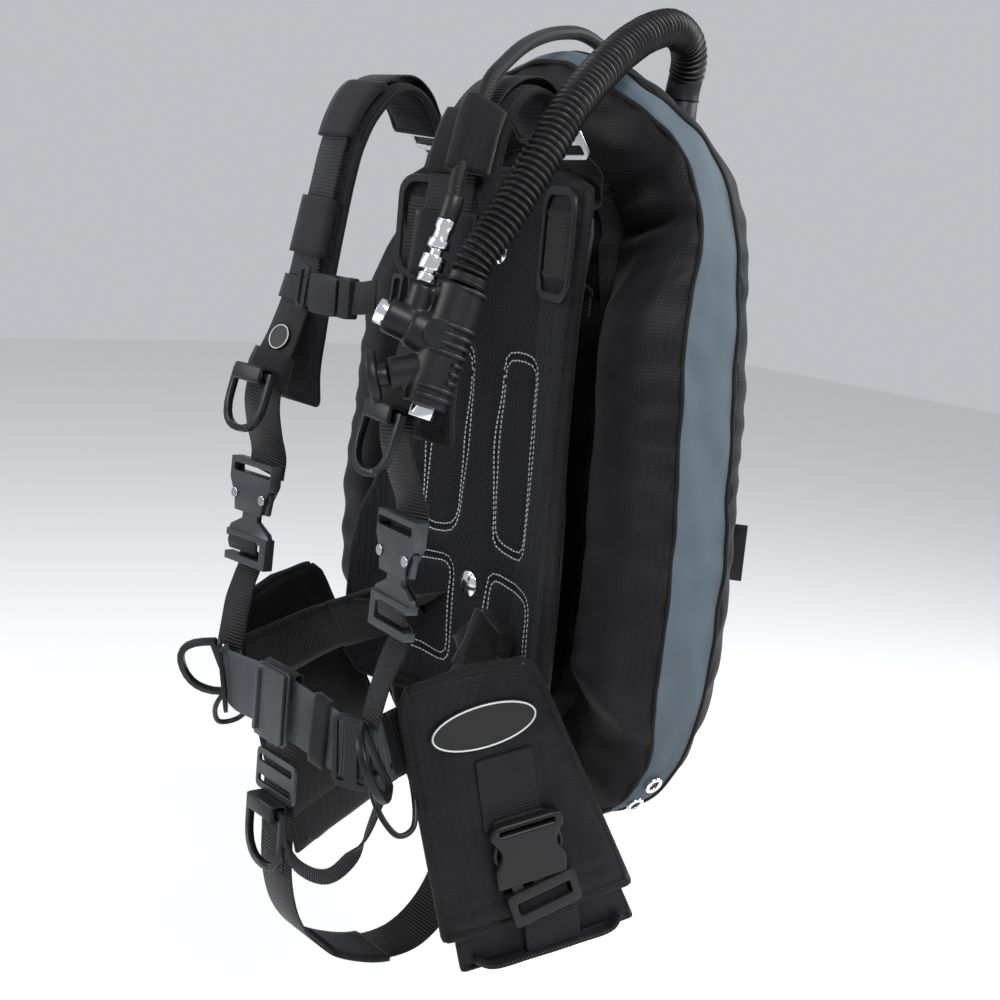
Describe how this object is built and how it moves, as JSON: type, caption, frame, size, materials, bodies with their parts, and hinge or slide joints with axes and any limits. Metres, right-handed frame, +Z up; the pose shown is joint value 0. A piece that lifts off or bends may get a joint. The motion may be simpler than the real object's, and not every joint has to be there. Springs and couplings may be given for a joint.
{
  "type": "buoyancy compensator vest",
  "caption": "Back-inflate dive vest with an air wing, padded metal backplate, webbing harness, power inflator, weight pockets and tank bands.",
  "frame": {"origin": "centre of the flat rest on the wing that the tank bears on, midway between the two book screws", "axes": "+X to the diver's left, +Y rearward into the tank, +Z up along the diver's back"},
  "size_m": [0.43, 0.4287, 0.7931],
  "materials": {
    "wing_fabric": "ballistic nylon weave",
    "pad_mesh": "spacer mesh",
    "black_webbing": "ribbed nylon",
    "grey_webbing": "ribbed nylon",
    "plate_metal": "brushed",
    "black_plastic": "satin moulded",
    "bright_metal": "polished",
    "grey_metal": "grey anodised",
    "black_rubber": "matte"
  },
  "bodies": {
    "vest": {"wing": "wing_fabric", "back_pad": "pad_mesh", "shoulder_pad_left": "pad_mesh", "shoulder_pad_right": "pad_mesh", "weight_pocket_left": "wing_fabric", "weight_pocket_right": "wing_fabric", "shoulder_webbing_left": "black_webbing", "shoulder_webbing_right": "black_webbing", "crotch_strap": "black_webbing", "chest_strap_right": "black_webbing", "upper_tank_band": "black_webbing", "lower_tank_band": "black_webbing", "waist_belt_left": "grey_webbing", "waist_belt_right": "grey_webbing", "backplate": "plate_metal", "dump_valve": "black_plastic", "chest_buckle_female": "black_plastic", "crotch_keeper": "black_plastic", "ring_keeper_left": "black_plastic", "ring_keeper_right": "black_plastic", "pocket_buckle_female_left": "black_plastic", "pocket_buckle_female_right": "black_plastic", "upper_book_screw": "bright_metal", "lower_book_screw": "bright_metal", "quick_disconnect": "bright_metal", "hose_fitting": "bright_metal", "belt_buckle_frame": "grey_metal", "buckle_frame_left": "grey_metal", "buckle_frame_right": "grey_metal", "inflator_body": "black_rubber", "mouthpiece": "black_rubber", "corrugated_hose": "black_rubber", "lp_hose": "black_rubber", "wing_elbow": "black_rubber"},
    "inflate_button": {"inflate_button": "bright_metal"},
    "deflate_button": {"deflate_button": "bright_metal"},
    "qd_collar": {"qd_collar": "bright_metal"},
    "dump_pull": {"dump_pull": "black_plastic"},
    "upper_cam_lever": {"upper_cam_lever": "black_plastic"},
    "lower_cam_lever": {"lower_cam_lever": "black_plastic"},
    "crotch_ring": {"crotch_ring": "grey_metal"},
    "belt_buckle_plate": {"belt_buckle_plate": "grey_metal"},
    "shoulder_ring_left": {"shoulder_ring_left": "grey_metal"},
    "shoulder_ring_right": {"shoulder_ring_right": "grey_metal"},
    "hip_ring_left": {"hip_ring_left": "grey_metal"},
    "hip_ring_right": {"hip_ring_right": "grey_metal"},
    "buckle_outer_clip_left": {"buckle_outer_clip_left": "grey_metal"},
    "buckle_outer_clip_right": {"buckle_outer_clip_right": "grey_metal"},
    "buckle_inner_clip_left": {"buckle_inner_clip_left": "grey_metal"},
    "buckle_inner_clip_right": {"buckle_inner_clip_right": "grey_metal"},
    "tongue_left": {"buckle_tongue_left": "grey_metal", "lower_webbing_left": "black_webbing"},
    "tongue_right": {"buckle_tongue_right": "grey_metal", "lower_webbing_right": "black_webbing"},
    "chest_left": {"chest_buckle_male": "black_plastic", "chest_strap_left": "black_webbing"},
    "pouch_left": {"weight_pouch_left": "wing_fabric", "pocket_buckle_male_left": "black_plastic"},
    "pouch_right": {"weight_pouch_right": "wing_fabric", "pocket_buckle_male_right": "black_plastic"}
  },
  "joints": [
    {"name": "inflate_press", "type": "slide", "parent": "vest", "child": "inflate_button", "axis": [0.6381, 0.6859, -0.3498], "range_m": [0, 0.004], "stiffness_N_per_m": 400},
    {"name": "deflate_press", "type": "slide", "parent": "vest", "child": "deflate_button", "axis": [0.0032, 0.2951, 0.9555], "range_m": [0, 0.004], "stiffness_N_per_m": 400},
    {"name": "collar_pull", "type": "slide", "parent": "vest", "child": "qd_collar", "axis": [0.01, 0.3028, 0.953], "range_m": [0, 0.0035], "stiffness_N_per_m": 400},
    {"name": "dump_pull_slide", "type": "slide", "parent": "vest", "child": "dump_pull", "axis": [0, 1, 0], "range_m": [0, 0.008], "stiffness_N_per_m": 250},
    {"name": "upper_cam_open", "type": "hinge", "parent": "vest", "child": "upper_cam_lever", "pos_m": [0.04175, 0.1855, 0.085], "axis": [0, 0, 1], "range_deg": [0, 130]},
    {"name": "lower_cam_open", "type": "hinge", "parent": "vest", "child": "lower_cam_lever", "pos_m": [0.04175, 0.1855, -0.105], "axis": [0, 0, 1], "range_deg": [0, 130]},
    {"name": "shoulder_ring_swing_left", "type": "hinge", "parent": "vest", "child": "shoulder_ring_left", "pos_m": [0.095, -0.1965, 0.024], "axis": [-0.9968, 0.08, 0], "range_deg": [0, 80]},
    {"name": "hip_ring_swing_left", "type": "hinge", "parent": "vest", "child": "hip_ring_left", "pos_m": [0.117, -0.1955, -0.229], "axis": [0.12, 0.45, -0.8849], "range_deg": [-25, 25]},
    {"name": "tongue_slide_left", "type": "slide", "parent": "vest", "child": "tongue_left", "axis": [-0.0031, -0.0308, -0.9995], "range_m": [0, 0.02]},
    {"name": "outer_clip_left", "type": "hinge", "parent": "vest", "child": "buckle_outer_clip_left", "pos_m": [0.12587, -0.18402, -0.08], "axis": [-0.1001, -0.9945, 0.0309], "range_deg": [0, 8], "stiffness_Nm_per_rad": 0.08},
    {"name": "inner_clip_left", "type": "hinge", "parent": "vest", "child": "buckle_inner_clip_left", "pos_m": [0.0881, -0.18022, -0.08], "axis": [0.1001, 0.9945, -0.0309], "range_deg": [0, 8], "stiffness_Nm_per_rad": 0.08},
    {"name": "pouch_slide_left", "type": "slide", "parent": "vest", "child": "pouch_left", "axis": [0.0366, 0.4025, -0.9147], "range_m": [0, 0.2]},
    {"name": "shoulder_ring_swing_right", "type": "hinge", "parent": "vest", "child": "shoulder_ring_right", "pos_m": [-0.095, -0.1965, 0.024], "axis": [-0.9968, -0.08, 0], "range_deg": [0, 80]},
    {"name": "hip_ring_swing_right", "type": "hinge", "parent": "vest", "child": "hip_ring_right", "pos_m": [-0.117, -0.1955, -0.229], "axis": [0.12, -0.45, 0.8849], "range_deg": [-25, 25]},
    {"name": "tongue_slide_right", "type": "slide", "parent": "vest", "child": "tongue_right", "axis": [0.0031, -0.0308, -0.9995], "range_m": [0, 0.02]},
    {"name": "outer_clip_right", "type": "hinge", "parent": "vest", "child": "buckle_outer_clip_right", "pos_m": [-0.12587, -0.18402, -0.08], "axis": [-0.1001, 0.9945, -0.0309], "range_deg": [0, 8], "stiffness_Nm_per_rad": 0.08},
    {"name": "inner_clip_right", "type": "hinge", "parent": "vest", "child": "buckle_inner_clip_right", "pos_m": [-0.0881, -0.18022, -0.08], "axis": [0.1001, -0.9945, 0.0309], "range_deg": [0, 8], "stiffness_Nm_per_rad": 0.08},
    {"name": "pouch_slide_right", "type": "slide", "parent": "vest", "child": "pouch_right", "axis": [-0.0366, 0.4025, -0.9147], "range_m": [0, 0.2]},
    {"name": "crotch_ring_swing", "type": "hinge", "parent": "vest", "child": "crotch_ring", "pos_m": [0, -0.214, -0.308], "axis": [-1, 0, 0], "range_deg": [0, 95]},
    {"name": "belt_plate_open", "type": "hinge", "parent": "vest", "child": "belt_buckle_plate", "pos_m": [0.019, -0.2192, -0.223], "axis": [0, 0, 1], "range_deg": [0, 100]},
    {"name": "chest_release", "type": "slide", "parent": "vest", "child": "chest_left", "axis": [1, 0, 0], "range_m": [0, 0.016]}
  ]
}
